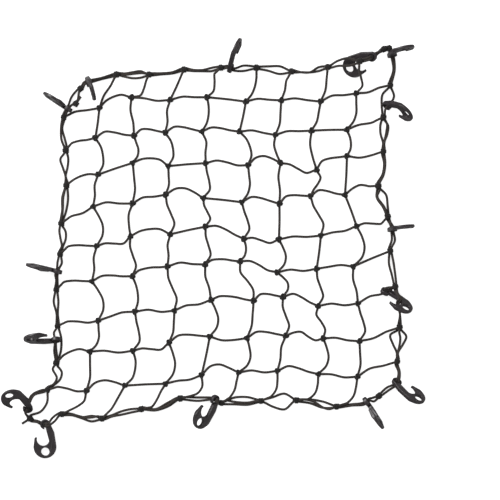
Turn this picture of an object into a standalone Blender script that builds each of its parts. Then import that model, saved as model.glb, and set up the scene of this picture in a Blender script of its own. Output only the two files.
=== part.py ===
"""Elastic cargo net with fifteen plastic hooks, laid out flat on the ground.

Lengths are in millimetres and turn into metres in the last step, with +Z up
and the middle of the net's outline at the origin.
"""

import math

import bmesh
import bpy
from mathutils import Matrix, Vector

MM = 0.001

# ------------------------------------------------------------------ sizes
CORD = 3.4  # width and height of one cord
FLOOR_LINE = CORD / 2  # height of a cord's middle where it lies on the ground
ROWS = 9
COLUMNS = 8
KNOT_SIZE = (4.5, 4.7, 4.4)  # half width, half length, wall height of a net knot
EDGE_KNOT_SIZE = (5.2, 5.5, 5.0)  # the same for a knot of the edge
CORD_IN_KNOT = 2.5  # a net cord stops this far from its knot's middle
PAIR = 2.0  # half the spacing of the edge's two cords at a knot
PAIR_IN_EYE = 1.9  # half their spacing in a hook's eye
OVER_EDGE = 5.9  # height at which a net cord reaches the edge knot
NEAR_EDGE = 15.0  # a net cord closer to the edge than this lies over its cords
CLEAR = 0.4  # free space between separate pieces
TO_MIDDLE = (0.7, -0.3)  # brings the middle of the outline to the origin

# ------------------------------------------------------------------ the net
# One row a line of net knots, from the top edge down: height above the
# middle, slope from left to right, bow, and slip to the right.
NET_ROWS = (
    # height, slope, bow, slip
    (236.4, -1.1, 5.2, 3.3),
    (184.0, -1.3, 5.3, -4.8),
    (131.5, 0.8, 5.6, -0.2),
    (75.4, 0.0, 5.4, -4.8),
    (19.5, 1.8, 4.3, 0.9),
    (-35.4, 2.5, -6.2, -2.8),
    (-93.9, 6.3, -12.1, 6.0),
    (-151.1, 4.5, -7.4, 3.5),
    (-210.0, 7.1, -8.3, -6.1),
)
# One row a column of net knots, from the left: place, lean a row, and rise.
NET_COLUMNS = (
    # place, lean, rise
    (-190.4, -1.85, -11.4),
    (-131.0, -0.64, -2.0),
    (-72.3, 0.28, 1.9),
    (-11.9, 0.57, 7.4),
    (49.4, 0.03, 3.8),
    (106.0, 0.44, 2.3),
    (166.2, 0.95, 1.4),
    (223.7, 1.86, 7.2),
)
# Net knots that slipped along their cords.
SLIPPED_KNOTS = (
    # row, column, to the right, up
    (1, 1, -3.5, -4.5),
    (1, 2, -7.0, 6.0),
    (1, 7, 5.0, -2.5),
    (1, 8, 8.0, 2.5),
    (2, 2, 6.0, -3.0),
    (3, 1, 1.5, -4.5),
    (3, 2, 0.0, 7.5),
    (3, 5, 5.5, 0.0),
    (3, 7, 0.0, -8.0),
    (3, 8, -7.0, 5.0),
    (4, 2, 5.0, -2.0),
    (4, 3, 0.0, 10.0),
    (4, 6, 4.0, -5.0),
    (4, 7, -6.0, 6.5),
    (4, 8, -7.5, 0.0),
    (5, 1, 2.0, -5.0),
    (5, 4, -2.5, 10.0),
    (5, 5, -2.5, -6.5),
    (5, 6, -3.0, -7.0),
    (5, 8, 3.5, 5.0),
    (6, 2, 4.0, -5.0),
    (6, 5, -5.0, 8.0),
    (6, 6, -2.5, -8.0),
    (7, 3, 2.5, -8.0),
    (7, 5, 8.0, 0.0),
    (7, 6, -2.5, 8.0),
    (7, 7, -7.5, -3.5),
    (8, 1, -6.0, 6.0),
    (8, 2, 0.0, -7.0),
    (8, 6, 4.0, 5.0),
    (8, 8, 0.0, -5.0),
    (9, 1, 0.0, 5.0),
    (9, 3, 0.0, -7.5),
    (9, 6, 0.0, 6.5),
    (9, 8, 4.5, -5.0),
)
# How far a net cord bows to its left, at even steps along it.
BOWS = {
    "f": (0.5,),
    "l": (3.8, 1.6),
    "h": (6.5, 5.5, 2.0),
    "a": (9.0, 8.0, 4.0),
    "A": (11.0, 13.0, 8.0),
    "r": (7.5, 10.0, 9.0),
    "s": (1.0, -2.4),
    "m": (2.0, 3.7),
    "d": (0.5, -4.0, -8.0),
    "b": (4.0, 8.0, 7.0),
    "B": (7.5, 12.5, 10.5),
    "k": (0.5, 5.0, 8.5),
    "w": (-2.8, 0.2),
    "c": (-5.0, -3.6),
    "e": (9.0, 7.0, 2.5),
}
# One letter of BOWS a cord, each row from left to right.
ROW_BOWS = (
    "frslfllhs",
    "haaahllfs",
    "afAfhAdas",
    "lhhAlaaaa",
    "adAfhslss",
    "ahahalllf",
    "hlslaAals",
    "rfsrsallf",
    "lAfsAlafh",
)
# One letter of BOWS a cord, each column from the top down.
COLUMN_BOWS = (
    "cfbcBwBbfb",
    "bwbmcmbbbm",
    "ffbmkckmBB",
    "kmmkkmcBwb",
    "mwbbkmwfBb",
    "wmcwfBBmwB",
    "fmcekfkwBB",
    "kbmwfBwkfB",
)

# ------------------------------------------------------------------ the edge
# Edge knots, clockwise from the top left corner.
EDGE_KNOTS = {
    # name: (right, up, height of its underside)
    "TLa": (-213.5, 255.5, 0.0),
    "T1": (-156.0, 278.0, 0.0),
    "T2": (-104.0, 278.0, 0.0),
    "T3": (-48.0, 286.0, 0.0),
    "T4": (11.0, 289.0, 0.0),
    "T5": (68.0, 289.0, 0.0),
    "T6": (124.0, 283.0, 0.0),
    "T7": (182.0, 290.0, 0.0),
    "T8": (232.0, 298.0, 25.5),
    "TRa": (272.0, 318.5, 6.0),
    "TRb": (280.0, 320.0, 4.0),
    "R1": (282.0, 261.0, 0.0),
    "R2": (271.0, 210.0, 0.0),
    "R3": (271.0, 155.0, 0.0),
    "R4": (263.0, 100.0, 0.0),
    "R5": (278.0, 51.0, 0.0),
    "R6": (282.0, -4.0, 0.0),
    "R7": (290.0, -61.0, 5.0),
    "R8": (297.0, -126.0, 0.0),
    "R9": (293.0, -181.0, 0.0),
    "BR": (264.0, -236.0, 0.0),
    "B8": (196.0, -253.0, 0.0),
    "B7": (132.0, -243.0, 0.0),
    "B6": (75.0, -244.0, 0.0),
    "B5": (14.5, -249.5, 0.0),
    "B4": (-54.0, -240.0, 0.0),
    "B3": (-116.0, -257.0, 0.0),
    "B2": (-179.0, -272.0, 0.0),
    "B1": (-243.0, -265.0, 0.0),
    "BL": (-294.0, -272.0, 0.0),
    "L9": (-266.0, -226.0, 0.0),
    "L8": (-252.0, -183.0, 0.0),
    "L7": (-250.0, -124.0, 0.0),
    "L6": (-252.0, -66.0, 0.0),
    "L5": (-246.0, -9.0, 0.0),
    "L4": (-244.0, 40.0, 0.0),
    "L3": (-236.0, 101.0, 0.0),
    "L2": (-237.0, 157.0, 0.0),
    "L1": (-240.0, 210.0, 0.0),
}
# How far the edge's cords bow outwards at a third and at two thirds of each
# span, clockwise: the outer cord, then the inner cord. Where they run through
# a hook the bows are halfway to its eye and halfway on from it.
EDGE_SPANS = (
    # from, to, outer bows, inner bows, hook
    ("TLa", "T1", (2.0, 2.2), (-2.0, -2.2), "b"),
    ("T1", "T2", (3.0, 5.0), (-5.0, -5.5), None),
    ("T2", "T3", (2.2, 2.2), (-2.2, -2.2), None),
    ("T3", "T4", (2.2, 2.2), (-2.2, -2.2), None),
    ("T4", "T5", (4.0, 5.0), (-1.0, -2.5), "c"),
    ("T5", "T6", (3.0, 5.0), (-4.0, -6.0), None),
    ("T6", "T7", (0.0, 0.5), (-5.5, -4.5), None),
    ("T7", "T8", (6.0, 7.0), (-2.5, -4.0), None),
    ("T8", "TRa", (2.0, 2.0), (-2.0, -2.0), "d"),
    ("TRb", "R1", (2.0, 6.7), (-2.0, 2.4), "e"),
    ("R1", "R2", (8.8, 2.0), (-9.0, -6.5), "f"),
    ("R2", "R3", (7.0, 3.5), (-5.0, -2.5), None),
    ("R3", "R4", (7.0, 7.0), (2.5, 2.5), None),
    ("R4", "R5", (7.5, 5.0), (-8.0, -3.0), None),
    ("R5", "R6", (2.5, 6.0), (-2.0, 0.8), "g"),
    ("R6", "R7", (2.5, 2.5), (-5.0, -3.0), None),
    ("R7", "R8", (2.2, 3.0), (-2.2, -1.4), "h"),
    ("R8", "R9", (11.0, 4.5), (-13.0, -5.0), None),
    ("R9", "BR", (8.4, 2.2), (4.2, -2.2), "i"),
    ("BR", "B8", (2.2, 3.6), (-2.2, -0.8), "j"),
    ("B8", "B7", (3.5, 2.0), (-5.0, -3.5), None),
    ("B7", "B6", (14.0, 9.5), (-11.0, -5.5), None),
    ("B6", "B5", (6.5, 6.0), (-7.0, -7.0), None),
    ("B5", "B4", (2.0, 2.2), (-2.0, -2.2), "k"),
    ("B4", "B3", (7.0, 9.5), (1.5, 4.5), None),
    ("B3", "B2", (2.5, 2.2), (-5.5, -5.0), None),
    ("B2", "B1", (6.0, 2.5), (-3.0, -3.0), None),
    ("B1", "BL", (1.6, 2.6), (-3.0, -1.6), "l"),
    ("BL", "L9", (2.0, 8.4), (-9.0, -9.0), "m"),
    ("L9", "L8", (-3.0, -5.0), (-11.0, -13.0), None),
    ("L8", "L7", (3.0, 4.5), (-6.6, -6.4), "n"),
    ("L7", "L6", (2.5, 5.0), (-2.5, -2.5), None),
    ("L6", "L5", (2.4, 2.0), (-2.4, -5.0), "o"),
    ("L5", "L4", (1.5, 2.2), (-3.5, -7.0), None),
    ("L4", "L3", (1.5, 4.0), (-4.5, -4.0), None),
    ("L3", "L2", (2.5, 9.0), (-2.2, -4.0), None),
    ("L2", "L1", (6.0, 7.5), (0.5, 1.5), None),
    ("L1", "TLa", (2.5, 3.0), (-0.4, -6.0), "a"),
)
# Hooks that only the outer cord runs through, the inner one passing inside.
OUTER_ONLY = ("f", "m", "n")
# Spare lengths of cord that start on top of a knot, lie between the two cords
# and end against the inner one, with their bows at one, two and 2.5 thirds.
SPARE_CORDS = (
    # from, to, bows
    ("R8", "R9", (2.0, -0.5, -3.6)),
    ("B6", "B5", (-0.3, -1.5, -4.4)),
)
# Edge knots that the net cord reaches below the edge's cords.
LOW_REACH = ("L1",)
# A knot that ties a spare end to the inner cord beside hook a.
TIED_KNOT = (-219.0, 234.0, 0.0)
# Cord ends left standing past their knots: the knot, and the way to the end.
TAILS = (
    # knot, right, up
    ("tied", 8.5, 10.0),
    ("BL", -13.0, -8.5),
)

# ------------------------------------------------------------------ the hooks
HOOK_THICKNESS = 6.0
# The hook's outline, anticlockwise about the eye's middle: x runs to the far
# end of the bowl and y to the mouth. A row with no radius is a corner.
HOOK_OUTLINE = (
    # part, x, y, radius, from angle, to angle, steps
    ("eye outside", 0.0, 0.0, 8.0, 8.0, 258.0, 6),
    ("back", 13.0, -14.6, 0.0, 0.0, 0.0, 0),
    ("bowl", 36.3, 0.3, 18.3, -104.0, 104.0, 7),
    ("tip", 23.4, 14.6, 2.7, 80.0, 200.0, 1),
    ("mouth", 24.6, 3.4, 9.9, 108.0, -78.0, 5),
    ("shank", 12.5, -2.7, 0.0, 0.0, 0.0, 0),
    ("eye inside", 0.0, 0.0, 5.2, -12.0, -345.0, 7),
)
HOOK_HOLE = ("hole", 43.8, -0.3, 7.3, 0.0, -300.0, 5)
# Where each hook lies: the middle of its eye, the way its far end points, how
# far that end is tipped up, how far the mouth side is rolled up, which side
# the mouth is on (1 left, -1 right), and how the edge's cords meet it: through
# the eye ("thru"), over and under a flat eye ("snake"), the same along the hook
# ("along"), or through the mouth ("hooked").
HOOKS = {
    # name: (right, up, heading, pitch, roll, mouth, cord)
    "a": (-233.8, 223.2, 145.0, 42.0, 88.0, -1, "thru"),
    "b": (-201.3, 265.8, -59.7, 66.0, -75.0, -1, "thru"),
    "c": (26.6, 288.0, 72.8, 30.0, -79.6, -1, "thru"),
    "d": (252.0, 305.5, 207.0, -27.0, -8.0, 1, "along"),
    "e": (284.8, 309.0, 26.5, 59.5, -75.0, -1, "thru"),
    "f": (276.6, 228.3, -23.5, 40.0, -60.0, -1, "thru"),
    "g": (285.0, 29.9, 14.4, 62.5, -95.0, 1, "thru"),
    "h": (274.0, -69.0, -39.8, 20.0, 54.0, -1, "hooked"),
    "i": (292.1, -213.7, -37.0, 13.4, -54.7, 1, "thru"),
    "j": (243.8, -245.0, -59.3, 28.0, 84.5, -1, "thru"),
    "k": (1.5, -241.8, -125.3, 13.5, 43.5, -1, "thru"),
    "l": (-269.8, -281.2, -90.0, -5.0, 0.0, -1, "snake"),
    "m": (-297.4, -256.0, 143.0, 36.0, -27.0, 1, "snake"),
    "n": (-252.8, -146.2, 175.0, 26.0, 66.0, -1, "thru"),
    "o": (-250.3, -36.8, 167.8, 26.0, 93.0, 1, "thru"),
}
# The hook whose eye is on a net cord, by the edge knot the cord runs to.
EYE_ON_NET = {"R7": "h"}
PULLED = 2.2  # how far that cord is pulled towards the closed end of the eye
IN_MOUTH = (24.0, -1.0)  # where the edge's cords cross the mouth of a hooked one
# A cord runs straight from a knot to a hook nearer than the first of these, and
# comes down to the ground between them if they are further apart than the second.
SHORT_RUN = (12.0, 20.0)
EYE_RUN = 5.5  # straight run of cord either side of a hook's middle
# A cord that snakes through a flat eye: along the cord, and above the plate.
SNAKE = ((-9.0, 5.6), (-2.6, 5.6), (-0.7, 2.6), (0.7, -2.6), (2.6, -5.6), (9.0, -5.6))


# ------------------------------------------------------------------ layout
def to_middle():
    """The shift that centres the whole outline, in metres."""
    return Vector((*TO_MIDDLE, 0.0)) * MM


def flat(x, y, z=0.0):
    """A place, from its distances right, up and above the ground."""
    return Vector((x, y, z))


def left_of(run):
    """The level direction to the left of a run."""
    return Vector((-run.y, run.x, 0.0)).normalized()


def net_knot(row, column):
    """Middle of the net knot of this row and column, both from 1."""
    height, slope, bow, slip = NET_ROWS[row - 1]
    place, lean, rise = NET_COLUMNS[column - 1]
    across = (column - (COLUMNS + 1) / 2) / ((COLUMNS - 1) / 2)
    right = place + lean * (row - (ROWS + 1) / 2) + slip
    up = height + slope * across + bow * (across**2 - 0.45) + rise
    for slipped_row, slipped_column, more_right, more_up in SLIPPED_KNOTS:
        if (slipped_row, slipped_column) == (row, column):
            right += more_right
            up += more_up
    return flat(right, up)


def edge_knot(name):
    """Middle of the underside of an edge knot."""
    return Vector(TIED_KNOT if name == "tied" else EDGE_KNOTS[name])


def edge_direction(name):
    """The way the edge runs through a knot, clockwise."""
    names = list(EDGE_KNOTS)
    at = names.index(name)
    run = edge_knot(names[(at + 1) % len(names)]) - edge_knot(names[at - 1])
    run.z = 0.0
    return run.normalized()


# ------------------------------------------------------------------ hooks
def arc(x, y, radius, start, end, steps):
    """Points of an arc, or its middle alone if it has no radius."""
    if radius == 0.0:
        return [(x, y)]
    angles = [math.radians(start + (end - start) * i / steps) for i in range(steps + 1)]
    return [(x + radius * math.cos(a), y + radius * math.sin(a)) for a in angles]


def hook_axes(name):
    """The hook's own axes in the net: to its far end, to its mouth, and out of its plate."""
    _, _, heading, pitch, roll, mouth, _ = HOOKS[name]
    heading, pitch, roll = (math.radians(angle) for angle in (heading, pitch, roll))
    ahead = Vector((math.cos(heading), math.sin(heading), 0.0))
    side = mouth * left_of(ahead)
    far = ahead * math.cos(pitch) + Vector((0, 0, math.sin(pitch)))
    over = Vector((0, 0, math.cos(pitch))) - ahead * math.sin(pitch)
    to_mouth = side * math.cos(roll) + over * math.sin(roll)
    return far, to_mouth, far.cross(to_mouth)


def hook_profile():
    """The hook's outline as one loop of points."""
    return [point for row in HOOK_OUTLINE for point in arc(*row[1:])]


def hook_middle(name):
    """The middle of a hook's eye, at the height that sets the hook on the ground."""
    far, to_mouth, out = hook_axes(name)
    drop = min(x * far.z + y * to_mouth.z for x, y in hook_profile())
    lift = HOOK_THICKNESS / 2 * abs(out.z) - drop
    return flat(HOOKS[name][0], HOOKS[name][1], lift)


def hook_mesh():
    """The flat hook, as a mesh made from a filled and extruded outline."""
    curve = bpy.data.curves.new("hook outline", "CURVE")
    curve.dimensions = "2D"
    curve.fill_mode = "BOTH"
    curve.extrude = HOOK_THICKNESS / 2 * MM
    for loop in (hook_profile(), arc(*HOOK_HOLE[1:])):
        spline = curve.splines.new("POLY")
        spline.points.add(len(loop) - 1)
        spline.use_cyclic_u = True
        for point, (x, y) in zip(spline.points, loop):
            point.co = (x * MM, y * MM, 0.0, 1.0)
    return mesh_of_curve(curve, "hook")


# ------------------------------------------------------------------ cords
def mesh_of_curve(curve, name):
    """Turns a curve into a closed mesh and takes the curve away."""
    guide = bpy.data.objects.new(name, curve)
    bpy.context.scene.collection.objects.link(guide)
    graph = bpy.context.evaluated_depsgraph_get()
    mesh = bpy.data.meshes.new_from_object(guide.evaluated_get(graph))
    mesh.name = name
    bpy.data.objects.remove(guide)
    work = bmesh.new()
    work.from_mesh(mesh)
    bmesh.ops.remove_doubles(work, verts=work.verts, dist=0.00001)
    bmesh.ops.recalc_face_normals(work, faces=work.faces)
    work.to_mesh(mesh)
    work.free()
    return mesh


def cords_mesh(name, lines):
    """Square cords along lines of points, level where they lie on the ground."""
    curve = bpy.data.curves.new(name, "CURVE")
    curve.dimensions = "3D"
    curve.twist_mode = "Z_UP"
    curve.bevel_depth = CORD / 2 * math.sqrt(2) * MM
    curve.bevel_resolution = 0
    curve.use_fill_caps = True
    for line in lines:
        spline = curve.splines.new("POLY")
        spline.points.add(len(line) - 1)
        for point, place in zip(spline.points, line):
            point.co = (*(place * MM), 1.0)
            point.tilt = math.radians(45)
    return mesh_of_curve(curve, name)


def knots_mesh(name, places, size):
    """Faceted knots with flat undersides, each turned to its own direction."""
    half_width, half_length, wall = size
    mesh = bpy.data.meshes.new(name)
    work = bmesh.new()
    for place, direction in places:
        turn = Matrix.Rotation(math.atan2(direction.y, direction.x), 4, "Z")
        shape = Matrix.Diagonal((half_length, half_width, wall, 1.0))
        seat = Matrix.Translation((place + flat(0, 0, wall / 2)) * MM)
        made = bmesh.ops.create_uvsphere(work, u_segments=6, v_segments=3, radius=1.0)
        matrix = seat @ Matrix.Scale(MM, 4) @ turn @ shape @ Matrix.Rotation(math.radians(30), 4, "Z")
        bmesh.ops.transform(work, matrix=matrix, verts=made["verts"])
        foot = min(made["verts"], key=lambda vert: vert.co.z)
        bmesh.ops.dissolve_verts(work, verts=[foot])
    work.to_mesh(mesh)
    work.free()
    return mesh


def knot_reach(name, direction):
    """How far an edge knot reaches from its middle in a level direction."""
    half_width, half_length, _ = EDGE_KNOT_SIZE
    along = edge_direction(name)
    across = left_of(along)
    ring = math.cos(math.radians(30))
    corners = [
        along * (half_length * ring * math.cos(turn)) + across * (half_width * ring * math.sin(turn))
        for turn in (math.radians(60 * i) for i in range(6))
    ]
    return max(corner.dot(direction) for corner in corners)


def net_line(start, end, bows, start_edge=None, end_edge=None):
    """The line of one net cord from knot to knot, with its bow."""
    run = end - start
    side = left_of(run)
    shares = [(i + 1) / (len(bows) + 1) for i in range(len(bows))]
    line = [start + run * t + side * bow for t, bow in zip(shares, bows)]
    for place, t in zip(line, shares):
        place.z = FLOOR_LINE + hump(start.z, t) + hump(end.z, 1 - t)
        for edge in (start_edge, end_edge):
            if edge and edge not in LOW_REACH:
                place.z = max(place.z, height_by_edge(edge, place))
    if end_edge in EYE_ON_NET:
        line = line[:-1] + eye_places(EYE_ON_NET[end_edge], run, PULLED, True)
    first = net_end(start, line[0], start_edge)
    last = net_end(end, line[-1], end_edge)
    return first + line + last[::-1]


def hump(height, share):
    """What a raised knot adds to the height of a cord, this share of the way from it."""
    return height * (1 - share**2)


def height_by_edge(edge, place):
    """Height of a net cord that comes down from over the edge's cords."""
    away = place - edge_knot(edge)
    if away.xy.length > 3 * NEAR_EDGE:
        return FLOOR_LINE
    away = abs(away.dot(left_of(edge_direction(edge))))
    share = min(1.0, max(0.0, 2.0 - away / NEAR_EDGE))
    return FLOOR_LINE + (OVER_EDGE - 0.3 - FLOOR_LINE) * share


def net_end(knot, toward, edge):
    """The last points of a net cord at a knot of the net or of the edge."""
    way = toward - knot
    way.z = 0.0
    way.normalize()
    if edge is None:
        return [knot + way * CORD_IN_KNOT + flat(0, 0, FLOOR_LINE + 0.3)]
    reach = knot_reach(edge, way) + CLEAR
    if edge in LOW_REACH:
        return [knot + way * (reach + 3 * CLEAR) + flat(0, 0, FLOOR_LINE)]
    top = knot + flat(0, 0, OVER_EDGE)
    if edge in EYE_ON_NET:
        return [top + way * reach]
    return [top + way * reach, top + way * (reach + 6.0) - flat(0, 0, 0.2)]


def net_lines():
    """Every cord of the net: the rows, then the columns."""
    lines = []
    for row in range(1, ROWS + 1):
        names = (f"L{row}", f"R{row}")
        stops = [edge_knot(names[0])] + [net_knot(row, i) for i in range(1, COLUMNS + 1)] + [edge_knot(names[1])]
        lines += chain(stops, ROW_BOWS[row - 1], names)
    for column in range(1, COLUMNS + 1):
        names = (f"T{column}", f"B{column}")
        stops = [edge_knot(names[0])] + [net_knot(i, column) for i in range(1, ROWS + 1)] + [edge_knot(names[1])]
        lines += chain(stops, COLUMN_BOWS[column - 1], names)
    return lines


def chain(stops, letters, names):
    """The cords between one stop and the next."""
    lines = []
    for i, letter in enumerate(letters):
        start_edge = names[0] if i == 0 else None
        end_edge = names[1] if i == len(letters) - 1 else None
        lines.append(net_line(stops[i], stops[i + 1], BOWS[letter], start_edge, end_edge))
    return lines


def eye_places(hook, run, offset, on_net=False):
    """Places of a cord through a hook's eye or mouth, in the order of the run."""
    far, to_mouth, out = hook_axes(hook)
    middle = hook_middle(hook)
    kind = HOOKS[hook][6]
    if kind == "hooked" and not on_net:
        middle += far * IN_MOUTH[0] + to_mouth * IN_MOUTH[1]
    if kind in ("thru", "hooked"):
        ahead = Vector((far.x, far.y, 0.0)).normalized()
        side = (ahead - out * ahead.dot(out)).normalized()
        way = out if out.dot(run) > 0 else -out
        outward = side if side.dot(left_of(run)) > 0 else -side
        return [middle + way * d + outward * offset for d in (-EYE_RUN, EYE_RUN)]
    along = to_mouth if kind == "snake" else far
    way = along if along.dot(run) > 0 else -along
    up = out if out.z > 0 else -out
    side = way.cross(up)
    outward = side if side.dot(left_of(run)) > 0 else -side
    return [middle + way * t + up * n + outward * offset for t, n in SNAKE]


def edge_line(start, end, side_offset, bows, hook=None):
    """The line of one edge cord from knot to knot, through a hook's eye if it has one."""
    a = edge_knot(start)
    b = edge_knot(end)
    first = a + edge_direction(start) * 0.5 + left_of(edge_direction(start)) * side_offset
    last = b - edge_direction(end) * 0.5 + left_of(edge_direction(end)) * side_offset
    rise = flat(0, 0, FLOOR_LINE + 0.2)
    if hook:
        eye = eye_places(hook, b - a, math.copysign(PAIR_IN_EYE, side_offset))
        middle = (eye[0] + eye[-1]) / 2
        flat_eye = HOOKS[hook][6] != "thru"
        before = halfway(a, middle, bows[0], first + rise, eye[0], flat_eye)
        after = halfway(middle, b, bows[1], last + rise, eye[-1], flat_eye)
        return [first + rise] + before + eye + after + [last + rise]
    run = b - a
    side = left_of(run)
    line = [first + rise]
    for i, bow in enumerate(bows):
        t = (i + 1) / 3
        line.append(a + run * t + side * bow)
        line[-1].z = FLOOR_LINE + hump(a.z, t) + hump(b.z, 1 - t)
    return line + [last + rise]


def halfway(a, b, bow, knot_end, eye_end, flat_eye):
    """The place halfway from a knot to a hook, on the ground if there is room to come down."""
    run = (knot_end.xy - eye_end.xy).length
    if run < SHORT_RUN[0]:
        return []
    place = (a + b) / 2 + left_of(b - a) * bow
    place.z = knot_end.z / 4 + eye_end.z * 3 / 4 if flat_eye else (knot_end.z + eye_end.z) / 2
    if run > SHORT_RUN[1] and not flat_eye:
        place.z = max(FLOOR_LINE, min(knot_end.z, eye_end.z) - 0.2)
    return [place]


def spare_line(start, end, bows):
    """A spare length that lies between the edge's two cords."""
    a = edge_knot(start)
    b = edge_knot(end)
    run = b - a
    side = left_of(run)
    over = flat(0, 0, FLOOR_LINE + CORD + 0.5)
    line = [a + run * t + side * bow + flat(0, 0, FLOOR_LINE) for t, bow in zip((0.33, 0.67, 0.84), bows)]
    return [a + run * 0.02 + over, a + run * 0.15 + over] + line


def edge_lines():
    """Every cord of the edge, with its spare lengths and tails."""
    lines = []
    for start, end, outer, inner, hook in EDGE_SPANS:
        lines.append(edge_line(start, end, PAIR, outer, hook))
        lines.append(edge_line(start, end, -PAIR, inner, None if hook in OUTER_ONLY else hook))
    for start, end, bows in SPARE_CORDS:
        lines.append(spare_line(start, end, bows))
    for knot, right, up in TAILS:
        way = flat(right, up)
        start = edge_knot(knot) + flat(0, 0, FLOOR_LINE + 0.2)
        lines.append([start, start + way])
    return lines


# ------------------------------------------------------------------ build
def plain_material(name, color, roughness):
    """A single-colour material."""
    material = bpy.data.materials.new(name)
    material.use_nodes = True
    shader = material.node_tree.nodes["Principled BSDF"]
    shader.inputs["Base Color"].default_value = (*color, 1.0)
    shader.inputs["Roughness"].default_value = roughness
    return material


def knotted(name, knots, cords, material, shown, guides):
    """One solid of knots and the cords that run into them."""
    body = bpy.data.objects.new(name, knots)
    body.location = to_middle()
    shown.objects.link(body)
    runs = bpy.data.objects.new(name + " cords", cords)
    runs.location = to_middle()
    runs.hide_render = True
    runs.display_type = "WIRE"
    guides.objects.link(runs)
    join = body.modifiers.new("cords into knots", "BOOLEAN")
    join.operation = "UNION"
    join.solver = "EXACT"
    join.use_self = True
    join.object = runs
    body.data.materials.append(material)
    return body


def main():
    for old in list(bpy.data.objects):
        bpy.data.objects.remove(old)
    scene = bpy.context.scene
    shown = bpy.data.collections.new("cargo net")
    guides = bpy.data.collections.new("guides")
    guides.hide_render = True
    scene.collection.children.link(shown)
    scene.collection.children.link(guides)

    places = [
        (net_knot(row, column), Vector((math.cos(turn), math.sin(turn), 0.0)))
        for row in range(1, ROWS + 1)
        for column in range(1, COLUMNS + 1)
        for turn in (math.radians(30 + 8 * math.sin(1.7 * row + 2.3 * column)),)
    ]
    black = plain_material("net cord", (0.012, 0.011, 0.010), 0.85)
    knots = knots_mesh("net knots", places, KNOT_SIZE)
    knotted("mesh_net", knots, cords_mesh("net cords", net_lines()), black, shown, guides)

    places = [(edge_knot(name), edge_direction(name)) for name in EDGE_KNOTS]
    places.append((edge_knot("tied"), flat(TAILS[0][1], TAILS[0][2])))
    black = plain_material("edge cord", (0.012, 0.011, 0.010), 0.8)
    knots = knots_mesh("edge knots", places, EDGE_KNOT_SIZE)
    knotted("border_cord", knots, cords_mesh("edge cords", edge_lines()), black, shown, guides)

    plate = hook_mesh()
    for name in HOOKS:
        far, to_mouth, out = hook_axes(name)
        turn = Matrix((far, to_mouth, out)).transposed().to_4x4()
        hook = bpy.data.objects.new("hook_" + name, plate.copy())
        hook.matrix_world = Matrix.Translation(to_middle() + hook_middle(name) * MM) @ turn
        hook.data.materials.append(plain_material("hook " + name, (0.02, 0.02, 0.022), 0.45))
        shown.objects.link(hook)


main()
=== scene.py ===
# %% [markdown]
# # A stretch cargo net with its hooks
#
# This is a net of black elastic cord that holds a load down on a rack or in a
# truck bed. Nine rows and eight columns of single cord are knotted where they
# cross, a doubled cord runs round the outside, and fifteen plastic hooks hang
# on that edge. It lies relaxed on the ground, so every cord bows a little.
#
# The lesson goes from the frame and the camera to the finishes, then to the
# cords, the knots and the hooks, each as a piece of its own.

# %% Load the fixed frame
import math

import bmesh
import bpy
from mathutils import Matrix, Vector


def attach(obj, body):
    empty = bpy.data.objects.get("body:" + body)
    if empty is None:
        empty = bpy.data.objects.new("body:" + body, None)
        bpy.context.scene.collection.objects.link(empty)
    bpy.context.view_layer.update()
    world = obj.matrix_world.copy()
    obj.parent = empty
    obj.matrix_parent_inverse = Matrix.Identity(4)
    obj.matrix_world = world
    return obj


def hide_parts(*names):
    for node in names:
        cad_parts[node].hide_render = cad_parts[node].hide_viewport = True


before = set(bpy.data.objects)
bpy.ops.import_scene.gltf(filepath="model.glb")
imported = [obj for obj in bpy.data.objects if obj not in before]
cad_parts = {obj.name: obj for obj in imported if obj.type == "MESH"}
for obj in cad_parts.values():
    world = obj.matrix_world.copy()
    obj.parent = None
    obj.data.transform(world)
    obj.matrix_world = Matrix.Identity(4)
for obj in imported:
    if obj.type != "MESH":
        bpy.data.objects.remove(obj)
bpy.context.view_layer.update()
print("nodes in the frame:", sorted(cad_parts))

# %% [markdown]
# ## Camera, ground and light
#
# The net is seen from straight above. A long lens keeps the hooks that stand
# up from leaning outwards in the picture. The ground is a wide pale sheet of
# board. The light is a bright room with a large soft lamp and a weaker one
# across from it. They give the plastic long quiet highlights and leave almost
# no shadow.

# %% Camera straight above
MM = 0.001
VIEW_MIDDLE = (58.4, -2.9)  # the ground under the lens
VIEW_WIDTH = 800.0  # width of the ground in view
LENS = 300.0  # focal length


def put_in_scene(name, data):
    """A new object that holds the data, at the origin."""
    thing = bpy.data.objects.new(name, data)
    bpy.context.scene.collection.objects.link(thing)
    return thing


camera_data = bpy.data.cameras.new("camera")
camera_data.lens = LENS
camera_height = VIEW_WIDTH * MM * LENS / camera_data.sensor_width
camera = put_in_scene("camera", camera_data)
camera.location = (VIEW_MIDDLE[0] * MM, VIEW_MIDDLE[1] * MM, camera_height)
camera_data.clip_end = 100.0
bpy.context.scene.camera = camera
print("the camera is", round(camera_height, 2), "m above the ground")

# %% Ground, room light and lamps
def set_inputs(node, values):
    """Sets inputs of a node by their names."""
    for name, value in values.items():
        node.inputs[name].default_value = value


def new_finish(name, values):
    """A material, its node tree and its shader, set to values."""
    material = bpy.data.materials.new(name)
    material.use_nodes = True
    shader = material.node_tree.nodes["Principled BSDF"]
    set_inputs(shader, values)
    return material, material.node_tree, shader


GROUND_DEPTH = 0.00015  # how far the ground lies below zero, in metres


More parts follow.
